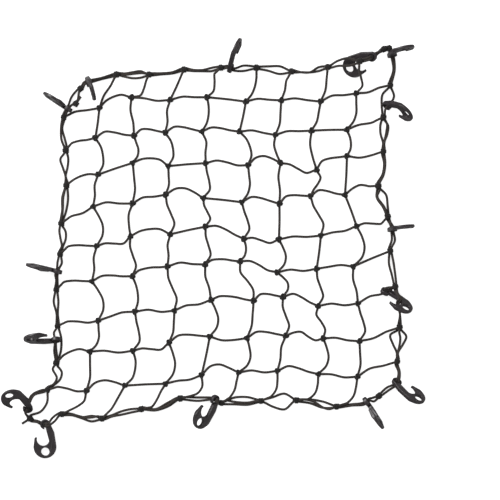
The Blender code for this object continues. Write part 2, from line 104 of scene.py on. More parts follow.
def plain_ground(name, width, color, roughness, glow):
    """A wide flat sheet of one colour that glows for the camera only, as a stage and not a part."""
    mesh = bpy.data.meshes.new(name)
    work = bmesh.new()
    bmesh.ops.create_grid(work, x_segments=1, y_segments=1, size=width / 2)
    bmesh.ops.translate(work, verts=work.verts, vec=(0, 0, -GROUND_DEPTH))
    work.to_mesh(mesh)
    work.free()
    values = {
        "Base Color": (*color, 1.0),
        "Roughness": roughness,
        "Specular IOR Level": 0.1,
        "Emission Color": (1.0, 1.0, 1.0, 1.0),
    }
    material, tree, shader = new_finish(name, values)
    seen = tree.nodes.new("ShaderNodeLightPath")
    strength = tree.nodes.new("ShaderNodeMath")
    strength.operation = "MULTIPLY"
    strength.inputs[1].default_value = glow
    tree.links.new(seen.outputs["Is Camera Ray"], strength.inputs[0])
    tree.links.new(strength.outputs[0], shader.inputs["Emission Strength"])
    mesh.materials.append(material)
    return put_in_scene(name, mesh)


def soft_lamp(name, place, aim, size, power):
    """A large square lamp that shines from a place to a point."""
    data = bpy.data.lights.new(name, "AREA")
    data.size = size
    data.energy = power
    lamp = put_in_scene(name, data)
    lamp.location = place
    lamp.rotation_euler = (Vector(aim) - Vector(place)).to_track_quat("-Z", "Y").to_euler()


plain_ground("ground", 60.0, (0.45, 0.45, 0.45), 0.9, 0.82)
world = bpy.data.worlds.new("room")
world.use_nodes = True
set_inputs(world.node_tree.nodes["Background"], {"Color": (1.0, 1.0, 1.0, 1.0), "Strength": 0.45})
bpy.context.scene.world = world
bpy.context.scene.view_settings.view_transform = "Standard"
soft_lamp("window", place=(-2.2, 2.0, 2.4), aim=(0, 0, 0), size=2.0, power=160.0)
soft_lamp("fill", place=(2.4, -1.6, 2.6), aim=(0, 0, 0), size=2.4, power=30.0)

# %% [markdown]
# ## Shared effects of the finishes
#
# Two effects are used by more than one finish, so each is a node group. The
# woven cover of elastic cord is a braid of fine yarns in two directions. It
# reads two values that the cord's mesh carries: how far along the cord a point
# is, and on which side of it. The fine grain is a small uneven tone, as on
# moulded plastic and dusty yarn, from noise on Object coordinates.

# %% Helpers for node trees
def add_node(tree, kind, **settings):
    """A new node with its settings."""
    node = tree.nodes.new(kind)
    for key, value in settings.items():
        setattr(node, key, value)
    return node


def add_math(tree, operation, *values):
    """A math node of its values, each a socket or a number."""
    node = add_node(tree, "ShaderNodeMath", operation=operation)
    for socket, value in zip(node.inputs, values):
        if isinstance(value, (int, float)):
            socket.default_value = value
        else:
            tree.links.new(value, socket)
    return node.outputs[0]


def feed(tree, source, target, pairs):
    """Links outputs of one node to inputs of another, by their names."""
    for output, socket in pairs:
        tree.links.new(source.outputs[output], target.inputs[socket])


def add_bump(tree, shader, height, strength, distance):
    """Low relief on the shader's surface."""
    bump = add_node(tree, "ShaderNodeBump")
    set_inputs(bump, {"Strength": strength, "Distance": distance})
    tree.links.new(height, bump.inputs["Height"])
    tree.links.new(bump.outputs["Normal"], shader.inputs["Normal"])


def new_group(name, kind, inputs, outputs):
    """A node group with named sockets and its two end nodes."""
    tree = bpy.data.node_groups.new(name, kind)
    for label, socket_type, value in inputs:
        socket = tree.interface.new_socket(name=label, in_out="INPUT", socket_type=socket_type)
        if value is not None:
            socket.default_value = value
    for label, socket_type in outputs:
        tree.interface.new_socket(name=label, in_out="OUTPUT", socket_type=socket_type)
    return tree, tree.nodes.new("NodeGroupInput"), tree.nodes.new("NodeGroupOutput")


# %% The braid of a woven cover
def braid_group():
    """Raised yarns that cross on a round cord."""
    tree, start, end = new_group(
        "woven cover",
        "ShaderNodeTree",
        (
            ("Along", "NodeSocketFloat", None),
            ("Side", "NodeSocketVector", None),
            ("Yarns", "NodeSocketFloat", 8.0),
            ("Pitch", "NodeSocketFloat", 0.006),
        ),
        (("Height", "NodeSocketFloat"), ("Valley", "NodeSocketFloat")),
    )
    split = add_node(tree, "ShaderNodeSeparateXYZ")
    tree.links.new(start.outputs["Side"], split.inputs[0])
    angle = add_math(tree, "ARCTAN2", split.outputs["Y"], split.outputs["X"])
    turn = add_math(tree, "MULTIPLY", angle, start.outputs["Yarns"])
    length = add_math(tree, "DIVIDE", start.outputs["Along"], start.outputs["Pitch"])
    length = add_math(tree, "MULTIPLY", length, 2 * math.pi)
    length = add_math(tree, "MULTIPLY", length, start.outputs["Yarns"])
    length = add_math(tree, "DIVIDE", length, 2.0)
    right = add_math(tree, "SINE", add_math(tree, "ADD", turn, length))
    left = add_math(tree, "SINE", add_math(tree, "SUBTRACT", turn, length))
    crossed = add_math(tree, "MULTIPLY", right, left)
    height = add_math(tree, "MULTIPLY_ADD", crossed, 0.5, 0.5)
    tree.links.new(height, end.inputs["Height"])
    valley = add_math(tree, "SUBTRACT", 1.0, height)
    tree.links.new(add_math(tree, "POWER", valley, 2.0), end.inputs["Valley"])
    return tree


WOVEN_COVER = braid_group()
print("group:", WOVEN_COVER.name)

# %% The fine grain
def grain_group():
    """A small uneven tone, from 0 to 1 about 0.5."""
    tree, start, end = new_group(
        "fine grain",
        "ShaderNodeTree",
        (("Scale", "NodeSocketFloat", 900.0), ("Patches", "NodeSocketFloat", 60.0)),
        (("Grain", "NodeSocketFloat"), ("Patch", "NodeSocketFloat")),
    )
    place = add_node(tree, "ShaderNodeTexCoord")
    for label, detail, target in (("Scale", 3.0, "Grain"), ("Patches", 2.0, "Patch")):
        noise = add_node(tree, "ShaderNodeTexNoise")
        noise.inputs["Detail"].default_value = detail
        tree.links.new(place.outputs["Object"], noise.inputs["Vector"])
        tree.links.new(start.outputs[label], noise.inputs["Scale"])
        tree.links.new(noise.outputs["Fac"], end.inputs[target])
    return tree


FINE_GRAIN = grain_group()
print("group:", FINE_GRAIN.name)

# %% [markdown]
# ## Finish of the cords
#
# The cover is black polyester yarn, never quite black: worn yarn tops are a warm dark grey, and the
# valleys between them are painted darker, as painted shade. Sheen stands for the loose fibres that catch
# the light at the rim. In the knots the colour is painted darker still, as painted shade among their
# packed turns. The edge cord has the same cover with slightly coarser yarns.

# %% The cord finish
KNOT_SHADE = 0.92  # painted shade: how much darker the cover's colour is painted in the knots


def mixed_tone(tree, factor, dark, light):
    """A colour between two tones."""
    mix = add_node(tree, "ShaderNodeMix", data_type="RGBA")
    set_inputs(mix, {"A": (*dark, 1.0), "B": (*light, 1.0)})
    tree.links.new(factor, mix.inputs["Factor"])
    return mix.outputs["Result"]


def cord_finish(name, yarns, pitch, dark, light):
    """Woven cover of a cord, with its braid in colour and in height."""
    values = {"Specular IOR Level": 0.3, "Sheen Weight": 0.15, "Sheen Roughness": 0.5}
    material, tree, shader = new_finish(name, values)
    braid = add_node(tree, "ShaderNodeGroup", node_tree=WOVEN_COVER)
    grain = add_node(tree, "ShaderNodeGroup", node_tree=FINE_GRAIN)
    along, side, knot_shade_mask = (
        add_node(tree, "ShaderNodeAttribute", attribute_name=stored)
        for stored in ("along", "side", "knot_shade_mask")
    )
    feed(tree, along, braid, [("Fac", "Along")])
    feed(tree, side, braid, [("Vector", "Side")])
    set_inputs(braid, {"Yarns": yarns, "Pitch": pitch})
    # colour from the braid's height: yarn tops lighter from wear, valleys darker as painted shade
    tone = add_math(tree, "MULTIPLY", braid.outputs["Height"], grain.outputs["Patch"])
    tone = add_math(tree, "MULTIPLY", tone, 1.6)
    # painted shade: the colour is darkened where the knot mask is 1
    closed = add_math(tree, "MULTIPLY_ADD", knot_shade_mask.outputs["Fac"], -KNOT_SHADE, 1.0)
    tone = add_math(tree, "MULTIPLY", tone, closed)
    tree.links.new(mixed_tone(tree, tone, dark, light), shader.inputs["Base Color"])
    rough = add_math(tree, "MULTIPLY_ADD", grain.outputs["Grain"], 0.25, 0.62)
    tree.links.new(rough, shader.inputs["Roughness"])
    add_bump(tree, shader, braid.outputs["Height"], strength=0.4, distance=0.0002)
    return material


TONES = {"dark": (0.004, 0.0030, 0.0026), "light": (0.050, 0.038, 0.031)}
NET_COVER = cord_finish("net cord cover", yarns=8.0, pitch=0.0075, **TONES)
EDGE_COVER = cord_finish("edge cord cover", yarns=8.0, pitch=0.0085, **TONES)
print("finishes:", NET_COVER.name, "and", EDGE_COVER.name)

# %% [markdown]
# ## Finish of the hooks
#
# The hooks are moulded in black plastic with a satin skin. Handling leaves the
# skin a little lighter and duller in patches. A fine grain goes, very low, into
# the surface.

# %% The plastic finish
def plastic_finish(name, dark, light, roughness):
    """Satin moulded plastic with light wear."""
    material, tree, shader = new_finish(name, {"Specular IOR Level": 0.5})
    grain = add_node(tree, "ShaderNodeGroup", node_tree=FINE_GRAIN)
    set_inputs(grain, {"Scale": 1400.0, "Patches": 70.0})
    worn = add_math(tree, "POWER", grain.outputs["Patch"], 2.0)
    worn = add_math(tree, "MULTIPLY", worn, 2.2)
    tree.links.new(mixed_tone(tree, worn, dark, light), shader.inputs["Base Color"])
    rough = add_math(tree, "MULTIPLY_ADD", grain.outputs["Patch"], 0.22, roughness - 0.11)
    tree.links.new(rough, shader.inputs["Roughness"])
    add_bump(tree, shader, grain.outputs["Grain"], strength=0.08, distance=0.0001)
    return material


HOOK_PLASTIC = plastic_finish(
    "hook plastic",
    dark=(0.0065, 0.0045, 0.0052),
    light=(0.026, 0.020, 0.023),
    roughness=0.40,
)
print("finish:", HOOK_PLASTIC.name)

# %% [markdown]
# ## Where the knots are
#
# The net is laid out from short tables: a height for each row, a place for
# each column, the knots that slipped, and how each cord bows between two
# knots. Tables like these set the solids of the frame. Those here hold more
# slips and more kinds of bow, and keep each knot within 5 mm of its solid.

# %% Sizes of the cords
CORD = 3.9  # thickness of one cord
FLOOR_LINE = CORD / 2  # height of a cord's middle where it lies on the ground
ROWS = 9
COLUMNS = 8
PAIR = 1.85  # half the spacing of the edge's two cords where they touch
PAIR_IN_EYE = 1.75  # half their spacing in a hook's eye
NEARLY = 5.2  # where the edge's two cords bow this little apart, they touch
LEANING = 0.9  # half the spacing of two cords that touch, seen from above
LIFTED = 3.0  # how far one of them lies up on the other
OVER_EDGE = 5.9  # height at which a net cord reaches the edge knot
NEAR_EDGE = 15.0  # a net cord closer to the edge than this lies over its cords
TO_MIDDLE = (0.7, -0.3)  # brings the middle of the outline to the origin
print("cord", CORD, "mm thick,", ROWS, "rows and", COLUMNS, "columns")

# %% Tables of the net
# The numbers of the rows and the columns come from a least-squares fit to the
# places of the knots.
# One row a line of net knots, from the top edge down: height above the
# middle, slope from left to right, bow, and slip to the right.
NET_ROWS = (
    # height, slope, bow, slip
    (236.4, -1.1, 5.2, 3.3),
    (184.0, -1.3, 5.3, -4.8),
    (131.5, 0.8, 5.6, -0.2),
    (75.4, 0.0, 5.4, -4.8),
    (19.5, 1.8, 4.3, 0.9),
    (-35.4, 2.5, -6.2, -2.8),
    (-93.9, 6.3, -12.1, 6.0),
    (-151.1, 4.5, -7.4, 3.5),
    (-210.0, 7.1, -8.3, -6.1),
)
# One row a column of net knots, from the left: place, lean a row, and rise.
NET_COLUMNS = (
    # place, lean, rise
    (-190.4, -1.85, -11.4),
    (-131.0, -0.64, -2.0),
    (-72.3, 0.28, 1.9),
    (-11.9, 0.57, 7.4),
    (49.4, 0.03, 3.8),
    (106.0, 0.44, 2.3),
    (166.2, 0.95, 1.4),
    (223.7, 1.86, 7.2),
)
# How far single knots slipped along their cords, to the right and up, one row a
# line of knots. Most of these are what the fit left over, rounded. The rest
# come from a program that found the knots.
SLIPS = (
    ((-3.5, -4.5), (-7, 6), (0, 0), (0, 0), (-1.5, -3), (0, 0), (5, -2.5), (8, 2.5)),
    ((0, 0), (6, -3), (0, 0), (-1, -2.5), (-3.5, 1.5), (-1.5, -3), (-2.5, 3.5), (-1, -3)),
    ((1.5, -4.5), (0, 7.5), (0, 0), (0, 0), (5.5, 0), (1.5, 4), (0, -8), (-7, 5)),
    ((0, 0), (5, -2), (0, 10), (0, 0), (0, -3), (4, -5), (-6, 6.5), (-7.5, 0)),
    ((2, -5), (-3.5, 3), (1.5, 3), (-2.5, 10), (-2.5, -6.5), (-3, -7), (4, -2), (3.5, 5)),
    ((0, 0), (4, -5), (0.5, 4), (0, 0), (-5, 8), (-2.5, -8), (0, 0), (0, 0)),
    ((3, 2.5), (0, 0), (2.5, -8), (0, 0), (8, 0), (-2.5, 8), (-7.5, -3.5), (-3, -1)),
    ((-6, 6), (0, -7), (-4, -1.5), (0, 0), (0, 0), (4, 5), (2.5, 3), (0, -5)),
    ((0, 5), (-3, -2), (0, -7.5), (-4, -2.5), (-4, 3), (0, 6.5), (3, 3), (4.5, -5)),
)
# How far a net cord bows to its left, at even steps along it. These kinds and
# the letters below were worked out with programs that followed the cords.
BOWS = {
    "f": (0.5,),
    "l": (3.8, 1.6),
    "h": (6.5, 5.5, 2.0),
    "a": (9.0, 8.0, 4.0),
    "A": (11.0, 13.0, 8.0),
    "r": (7.5, 10.0, 9.0),
    "s": (1.0, -2.4),
    "m": (2.0, 3.7),
    "d": (0.5, -4.0, -8.0),
    "b": (4.0, 8.0, 7.0),
    "B": (7.5, 12.5, 10.5),
    "k": (0.5, 5.0, 8.5),
    "w": (-2.8, 0.2),
    "c": (-5.0, -3.6),
    "e": (9.0, 7.0, 2.5),
    "n": (5.1, 1.7),
    "p": (2.5, 0.0),
    "q": (0.0, -2.6),
    "t": (4.5, 6.5, 5.5),
    "v": (-2.4, 1.0),
    "y": (2.5, -1.5),
    "z": (-5.0, 1.0, 5.0),
    "D": (2.0, -2.0, -6.0),
    "g": (5.0, 3.0, -1.0),
    "G": (13.0, 15.0, 8.5),
    "H": (6.0, 8.0, 1.0, -4.0),
    "i": (-1.5, 2.5, 6.5),
    "j": (6.5, 9.0, 3.0),
    "M": (6.0, 6.4, 5.0, 2.0),
    "o": (3.0, 7.5, 9.5),
    "O": (10.0, 15.5, 13.0),
}
# One letter of BOWS a cord, each row from left to right.
ROW_BOWS = (
    "lrqlfllnw",
    "heaahllfs",
    "tfrfgAdac",
    "ynnAfaaej",
    "adrfhDpqd",
    "ahMnMgymf",
    "gmyyMaeyy",
    "rsdacaHpw",
    "gAfqGyesn",
)
# One letter of BOWS a cord, each column from the top down.
COLUMN_BOWS = (
    "qfrwBvBbma",
    "owbmcitorm",
    "fvrmkwimBo",
    "ztnokkwBfG",
    "tfrbotzmBb",
    "wmcwfBBiwB",
    "mmcekfkzBO",
    "kbtffOwomB",
)
print("bow letters:", "".join(BOWS))

# %% Tables of the edge
# Edge knots, clockwise from the top left corner.
EDGE_KNOTS = {
    # name: (right, up, height of its underside)
    "TLa": (-213.5, 255.5, 0.0),
    "T1": (-156.0, 278.0, 0.0),
    "T2": (-104.0, 278.0, 0.0),
    "T3": (-48.0, 286.0, 0.0),
    "T4": (11.0, 289.0, 0.0),
    "T5": (68.0, 289.0, 0.0),
    "T6": (124.0, 283.0, 0.0),
    "T7": (182.0, 290.0, 0.0),
    "T8": (232.0, 298.0, 25.5),
    "TRa": (272.0, 318.5, 6.0),
    "TRb": (280.0, 320.0, 4.0),
    "R1": (282.0, 261.0, 0.0),
    "R2": (271.0, 210.0, 0.0),
    "R3": (271.0, 155.0, 0.0),
    "R4": (263.0, 100.0, 0.0),
    "R5": (278.0, 51.0, 0.0),
    "R6": (282.0, -4.0, 0.0),
    "R7": (290.0, -61.0, 5.0),
    "R8": (297.0, -126.0, 0.0),
    "R9": (293.0, -181.0, 0.0),
    "BR": (264.0, -236.0, 0.0),
    "B8": (196.0, -253.0, 0.0),
    "B7": (132.0, -243.0, 0.0),
    "B6": (75.0, -244.0, 0.0),
    "B5": (12.2, -247.2, 0.0),
    "B4": (-54.0, -240.0, 0.0),
    "B3": (-116.0, -257.0, 0.0),
    "B2": (-179.0, -272.0, 0.0),
    "B1": (-243.0, -265.0, 0.0),
    "BL": (-294.0, -272.0, 0.0),
    "L9": (-266.0, -226.0, 0.0),
    "L8": (-252.0, -183.0, 0.0),
    "L7": (-250.0, -124.0, 0.0),
    "L6": (-252.0, -66.0, 0.0),
    "L5": (-246.0, -9.0, 0.0),
    "L4": (-244.0, 40.0, 0.0),
    "L3": (-236.0, 101.0, 0.0),
    "L2": (-237.0, 157.0, 0.0),
    "L1": (-240.0, 210.0, 0.0),
}
# How far the edge's cords bow outwards at even steps along each span,
# clockwise: the outer cord, then the inner cord. Where they run through a hook
# the bows are halfway to its eye and halfway on from it.
EDGE_SPANS = (
    # from, to, outer bows, inner bows, hook
    ("TLa", "T1", (2.0, 2.2), (-2.0, -2.2), "b"),
    ("T1", "T2", (1.8, 3.8, 5.4), (-3.4, -5.8, -5.0), None),
    ("T2", "T3", (0.2, -1.0), (-3.4, -4.2), None),
    ("T3", "T4", (-1.4, -2.2, 0.6), (-3.0, -4.2, -4.7), None),
    ("T4", "T5", (4.0, 3.8), (-1.0, -4.8), "c"),
    ("T5", "T6", (4.2, 6.2), (-2.8, -6.0), None),
    ("T6", "T7", (-3.0, -5.0, 1.5), (-3.0, -5.0, -4.5), None),
    ("T7", "T8", (6.6, 8.0), (-1.4, -4.2), None),
    ("T8", "TRa", (2.0, 2.0), (-2.0, -2.0), "d"),
    ("TRb", "R1", (2.0, 6.7), (-2.0, 2.4), "e"),
    ("R1", "R2", (8.8, 2.0), (-9.0, -6.5), "f"),
    ("R2", "R3", (7.6, 6.2, 2.8), (-4.9, -4.4, -2.0), None),
    ("R3", "R4", (7.0, 7.0), (2.5, 2.5), None),
    ("R4", "R5", (7.5, 5.0), (-8.0, -3.0), None),
    ("R5", "R6", (2.5, 6.0), (-2.0, 0.8), "g"),
    ("R6", "R7", (2.5, 2.5), (-5.0, -3.0), None),
    ("R7", "R8", (2.2, 0.8), (-2.2, 0.8), "h"),
    ("R8", "R9", (11.7, 7.1, 1.2), (-14.0, -8.9, -2.5), None),
    ("R9", "BR", (5.2, 2.6), (1.8, -2.7), "i"),
    ("BR", "B8", (4.6, 3.4), (-1.6, -0.6), "j"),
    ("B8", "B7", (5.2, 1.2), (-4.4, -4.6), None),
    ("B7", "B6", (14.0, 9.5), (-11.0, -5.5), None),
    ("B6", "B5", (5.0, 3.3), (-7.2, -7.5), None),
    ("B5", "B4", (2.0, 3.0), (-2.0, -2.4), "k"),
    ("B4", "B3", (7.0, 9.5), (1.5, 4.5), None),
    ("B3", "B2", (1.6, 1.4, 0.6), (-3.8, -3.9, -1.2), None),
    ("B2", "B1", (6.6, 2.9, 0.6), (-2.4, 1.4, -2.3), None),
    ("B1", "BL", (3.7, 1.6), (-2.8, -0.8), "l"),
    ("BL", "L9", (2.0, 8.8), (-8.6, -9.8), "m"),
    ("L9", "L8", (-5.0, -8.0, 2.5), (-9.5, -14.0, -12.6), None),
    ("L8", "L7", (3.0, 4.5), (-6.6, -6.4), "n"),
    ("L7", "L6", (2.5, 5.0), (-2.5, -2.5), None),
    ("L6", "L5", (2.4, 2.0), (-2.4, -5.0), "o"),
    ("L5", "L4", (-1.4, 0.5, 2.8), (-4.8, -7.9, -7.0), None),
    ("L4", "L3", (1.5, 4.0), (-5.0, -5.4), None),
    ("L3", "L2", (0.9, 5.2, 8.9), (0.9, -2.2, -3.7), None),
    ("L2", "L1", (6.0, 6.0), (0.4, 3.2), None),
    ("L1", "TLa", (2.5, 5.0), (-0.4, -6.0), "a"),
)
# Hooks that only the outer cord runs through, the inner one passing inside.
OUTER_ONLY = ("f", "m", "n")
# Spare lengths of cord that start on top of a knot, lie between the two cords
# and end against the inner one, with their bows at one, two and 2.5 thirds.
SPARE_CORDS = (
    # from, to, bows
    ("R8", "R9", (2.4, 0.8, -1.5)),
    ("B6", "B5", (1.6, -0.6, -3.4)),
)
# Edge knots that the net cord reaches below the edge's cords.
LOW_REACH = ("L1",)
# A knot that ties a spare end to the inner cord beside hook a.
TIED_KNOT = (-220.8, 231.4, 0.0)
# Cord ends left standing past their knots: the knot, and the way to the end.
TAILS = (
    # knot, right, up
    ("tied", 8.0, 11.5),
    ("BL", -13.0, -8.5),
)
# Short strands that lie beside the edge's cords or cross over them, by how far
# they are lifted and the places they pass.
STRANDS = (
    # from, to, lift, places (right, up)
    ("L9", "m", 0.0, ((-273.8, -226.4), (-281.2, -228.7), (-288.4, -232.4), (-293.8, -238.4))),
    ("R7", "h", 0.0, ((283.5, -65.0),)),
    ("T2", "T1", 0.0, ((-113.1, 280.4), (-125.9, 279.6), (-138.7, 278.1))),
    ("R2", "R3", 0.0, ((276.8, 199.0), (275.9, 187.0), (273.2, 173.0))),
    ("R4", "R5", 2.4,
     ((265.0, 93.5), (261.2, 84.4), (262.6, 79.2), (267.2, 73.2), (271.6, 67.4), (275.2, 60.0))),
    ("B2", "B1", 2.4,
     ((-185.0, -268.3), (-193.9, -270.1), (-203.8, -270.7), (-213.9, -268.6), (-223.8, -266.1))),
    ("B4", "B3", 2.4,
     ((-60.8, -241.9), (-72.2, -249.9), (-83.7, -255.7), (-95.0, -257.9), (-106.6, -257.4))),
    ("L3", "L4", 2.4, ((-239.3, 89.5), (-241.3, 78.5), (-241.5, 66.5), (-242.4, 54.0))),
    ("L8", "n", 0.0, ((-251.0, -173.0), (-252.2, -161.0))),
    ("B7", "B8", 2.4,
     ((138.1, -241.6), (153.3, -242.9), (164.5, -247.9), (174.1, -254.2), (184.5, -257.0))),
)
print(len(EDGE_KNOTS), "edge knots and", len(EDGE_SPANS), "spans")

# %% Tables of the hooks
HOOK_THICKNESS = 6.4
# The hook's outline, anticlockwise about the eye's middle: x runs to the far
# end of the bowl and y to the mouth. A row with no radius is a corner.
HOOK_OUTLINE = (
    # part, x, y, radius, from angle, to angle, steps
    ("eye outside", 0.0, 0.0, 8.0, 8.0, 258.0, 6),
    ("back", 13.0, -14.6, 0.0, 0.0, 0.0, 0),
    ("bowl", 36.3, 0.3, 18.3, -104.0, 104.0, 7),
    ("tip", 23.4, 14.6, 2.7, 80.0, 200.0, 1),
    ("mouth", 24.6, 3.4, 9.9, 108.0, -78.0, 5),
    ("shank", 12.5, -2.7, 0.0, 0.0, 0.0, 0),
    ("eye inside", 0.0, 0.0, 4.9, -12.0, -345.0, 7),
)
HOOK_HOLE = ("hole", 43.8, -0.3, 6.6, 0.0, -345.0, 6)
# Where each hook lies: the middle of its eye, the way its far end points, how
# far that end is tipped up, how far the mouth side is rolled up, which side
# the mouth is on (1 left, -1 right), and how the edge's cords meet it: through
# the eye ("thru"), over and under a flat eye ("snake"), the same along the hook
# ("along"), or through the mouth ("hooked").
HOOKS = {
    # name: (right, up, heading, pitch, roll, mouth, cord)
    "a": (-233.8, 223.2, 145.0, 42.0, 83.5, -1, "thru"),
    "b": (-201.3, 265.8, -59.7, 66.0, -75.0, -1, "thru"),
    "c": (26.6, 288.0, 72.8, 30.0, -79.6, -1, "thru"),
    "d": (252.0, 305.5, 207.0, -27.0, -8.0, 1, "along"),
    "e": (284.8, 309.0, 26.5, 59.5, -75.0, -1, "thru"),
    "f": (276.6, 228.3, -23.5, 40.0, -60.0, -1, "thru"),
    "g": (285.0, 29.9, 14.4, 62.5, -99.0, 1, "thru"),
    "h": (274.0, -69.0, -39.8, 20.0, 54.0, -1, "hooked"),
    "i": (292.1, -213.7, -37.0, 13.4, -54.7, 1, "thru"),
    "j": (243.8, -245.0, -59.3, 28.0, 81.0, -1, "thru"),
    "k": (1.5, -241.8, -125.3, 13.5, 43.5, -1, "thru"),
    "l": (-269.8, -281.2, -90.0, -5.0, 0.0, -1, "snake"),
    "m": (-297.4, -256.0, 143.0, 36.0, -27.0, 1, "snake"),
    "n": (-252.8, -146.2, 175.0, 26.0, 66.0, -1, "thru"),
    "o": (-250.3, -36.8, 167.8, 26.0, 84.5, 1, "thru"),
}
# The hook whose eye is on a net cord, by the edge knot the cord runs to.
EYE_ON_NET = {"R7": "h"}
PULLED = 2.2  # how far that cord is pulled towards the closed end of the eye
IN_MOUTH = (26.5, -4.5)  # where the edge's cords cross the mouth of a hooked one
# A cord runs straight from a knot to a hook nearer than the first of these, and
# comes down to the ground between them if they are further apart than the second.
SHORT_RUN = (12.0, 20.0)
EYE_RUN = 5.5  # straight run of cord either side of a hook's middle
# A cord that snakes through a flat eye: along the cord, and above the plate.
SNAKE = ((-5.0, 5.3), (-2.2, 5.0), (-0.7, 2.2), (0.7, -2.2), (2.2, -5.0), (5.0, -5.3))
print(len(HOOKS), "hooks")

# %% Places and directions of the knots
def flat(x, y, z=0.0):
    """A place, from its distances right, up and above the ground."""
    return Vector((x, y, z))


def left_of(run):
    """The level direction to the left of a run."""
    return Vector((-run.y, run.x, 0.0)).normalized()


BOW_LEVEL = 0.45  # about the mean of a row's bow, which is taken off it


def net_knot(row, column):
    """Middle of the net knot of this row and column, both from 1."""
    height, slope, bow, slip = NET_ROWS[row - 1]
    place, lean, rise = NET_COLUMNS[column - 1]
    across = (column - (COLUMNS + 1) / 2) / ((COLUMNS - 1) / 2)
    right = place + lean * (row - (ROWS + 1) / 2) + slip
    up = height + slope * across + bow * (across**2 - BOW_LEVEL) + rise
    more_right, more_up = SLIPS[row - 1][column - 1]
    return flat(right + more_right, up + more_up)


def edge_knot(name):
    """Middle of the underside of an edge knot."""
    return Vector(TIED_KNOT if name == "tied" else EDGE_KNOTS[name])


def edge_direction(name):
    """The way the edge runs through a knot, clockwise."""
    names = list(EDGE_KNOTS)
    at = names.index(name)
    run = edge_knot(names[(at + 1) % len(names)]) - edge_knot(names[at - 1])
    run.z = 0.0
    return run.normalized()


print("a corner knot of the net:", [round(v, 1) for v in net_knot(1, 1)])

# %% Axes and heights of the hooks
def arc(x, y, radius, start, end, steps):
    """Points of an arc, or its middle alone if it has no radius."""
    if radius == 0.0:
        return [(x, y)]
    angles = [math.radians(start + (end - start) * i / steps) for i in range(steps + 1)]
    return [(x + radius * math.cos(a), y + radius * math.sin(a)) for a in angles]


def hook_axes(name):
    """The hook's own axes in the net: to its far end, to its mouth, and out of its plate."""
    _, _, heading, pitch, roll, mouth, _ = HOOKS[name]
    heading, pitch, roll = (math.radians(angle) for angle in (heading, pitch, roll))
    ahead = Vector((math.cos(heading), math.sin(heading), 0.0))
    side = mouth * left_of(ahead)
    far = ahead * math.cos(pitch) + Vector((0, 0, math.sin(pitch)))
    over = Vector((0, 0, math.cos(pitch))) - ahead * math.sin(pitch)
    to_mouth = side * math.cos(roll) + over * math.sin(roll)
    return far, to_mouth, far.cross(to_mouth)


def hook_profile():
    """The hook's outline as one loop of points."""
    return [point for row in HOOK_OUTLINE for point in arc(*row[1:])]


def hook_middle(name):
    """The middle of a hook's eye, at the height that sets the hook on the ground."""
    far, to_mouth, out = hook_axes(name)
    drop = min(x * far.z + y * to_mouth.z for x, y in hook_profile())
    lift = HOOK_THICKNESS / 2 * abs(out.z) - drop
    return flat(HOOKS[name][0], HOOKS[name][1], lift)


print("heights of the eyes:", {name: round(hook_middle(name).z, 1) for name in HOOKS})

# %% [markdown]
# ## Lines of the cords
#
# Each cord is a smooth line through a few places: its two knots and its bows
# between them. The line comes from a curve that passes through every place
# without swinging wide, which suits cord better than a free spline. Where a
# net cord meets the edge it climbs over the edge's two cords.

# %% A smooth line through places
STEP = 2.6  # length of one piece of a smooth line


def smooth_line(places):
    """Points of a smooth curve through places, about a step apart."""
    ends = [places[0] * 2 - places[1]] + list(places) + [places[-1] * 2 - places[-2]]
    line = [places[0]]
    for p0, p1, p2, p3 in zip(ends, ends[1:], ends[2:], ends[3:]):
        t1 = math.sqrt((p1 - p0).length)
        t2 = t1 + math.sqrt((p2 - p1).length)
        t3 = t2 + math.sqrt((p3 - p2).length)
        steps = max(1, round((p2 - p1).length / STEP))
        for i in range(1, steps + 1):
            t = t1 + (t2 - t1) * i / steps
            a1 = p0.lerp(p1, t / t1)
            a2 = p1.lerp(p2, (t - t1) / (t2 - t1))
            a3 = p2.lerp(p3, (t - t2) / (t3 - t2))
            b1 = a1.lerp(a2, t / t2)
            b2 = a2.lerp(a3, (t - t1) / (t3 - t1))
            line.append(b1.lerp(b2, (t - t1) / (t2 - t1)))
            line[-1].z = max(line[-1].z, FLOOR_LINE)
    return line


def line_length(line):
    """Length of a line of points."""
    return sum((b - a).length for a, b in zip(line, line[1:]))


print("a line of three places has", len(smooth_line([flat(0, 0), flat(20, 4), flat(40, 0)])), "points")

# %% Lines of the net's cords
# Where a net cord ends: how far out from a knot's middle, and how high.
MEETS_KNOT = 0.9  # above its line on the ground, in the middle of a net knot
LEAVES_KNOT = (4.5, 0.3)  # out from a net knot, and above that line
LOW_RUN = 8.0  # out from an edge knot that it reaches on the ground
MEETS_EDGE = 4.0  # above the underside of an edge knot, in its middle
OVER_KNOT = (5.5, 11.5)  # out from an edge knot, where it lies over the edge
OVER_IN_EYE = 6.0  # the same for the cord that runs through an eye
OVER_DROP = 0.2  # how far it has come down at the second of those
PAST_DROP = 0.3  # how far it has come down at its first bow past the edge


def height_by_edge(edge, place):
    """Height of a net cord that comes down from over the edge's cords."""
    away = place - edge_knot(edge)
    if away.xy.length > 3 * NEAR_EDGE:
        return FLOOR_LINE
    away = abs(away.dot(left_of(edge_direction(edge))))
    share = min(1.0, max(0.0, 2.0 - away / NEAR_EDGE))
    return FLOOR_LINE + (OVER_EDGE - PAST_DROP - FLOOR_LINE) * share


